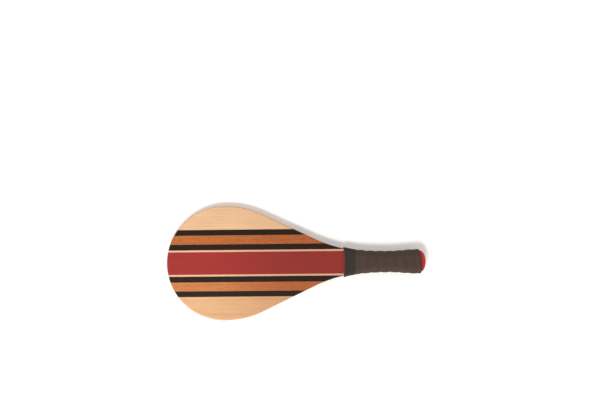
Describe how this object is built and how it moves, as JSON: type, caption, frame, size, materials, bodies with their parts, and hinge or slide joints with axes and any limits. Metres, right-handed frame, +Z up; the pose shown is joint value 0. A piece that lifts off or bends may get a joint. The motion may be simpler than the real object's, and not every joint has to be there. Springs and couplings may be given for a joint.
{
  "type": "beach paddle",
  "caption": "Wooden beach paddle: a teardrop blade glued up from coloured strips, whose centre strip runs on as a thickened handle with a rubber collar and a wound grip tape.",
  "frame": {"origin": "on the table, under the middle of the paddle's length and width, as it lies flat on its blade tip and its grip", "axes": "+X along the table from the blade's tip to the butt, +Z up from the table, +Y across the blade"},
  "size_m": [0.48, 0.2124, 0.0305],
  "materials": {
    "red_hardwood": "red-stained hardwood under satin lacquer",
    "cream_veneer": "pale veneer line under satin lacquer",
    "dark_hardwood": "nearly black hardwood under satin lacquer",
    "cedar": "orange-brown wood under satin lacquer",
    "pale_softwood": "pale straight-grained wood under satin lacquer",
    "scale_wood": "bare sanded wood, hidden by the grip apart from its end",
    "collar_rubber": "matte dark grey",
    "grip_tape": "matte brown synthetic leather tape"
  },
  "bodies": {
    "root": {"centre_strip": "red_hardwood", "cream_line_left": "cream_veneer", "cream_line_right": "cream_veneer", "inner_dark_strip_left": "dark_hardwood", "inner_dark_strip_right": "dark_hardwood", "cedar_strip_left": "cedar", "cedar_strip_right": "cedar", "outer_dark_strip_left": "dark_hardwood", "outer_dark_strip_right": "dark_hardwood", "pale_panel_left": "pale_softwood", "pale_panel_right": "pale_softwood", "handle_scale_front": "scale_wood", "handle_scale_back": "scale_wood", "grip_collar": "collar_rubber", "grip_tape": "grip_tape"}
  },
  "joints": []
}
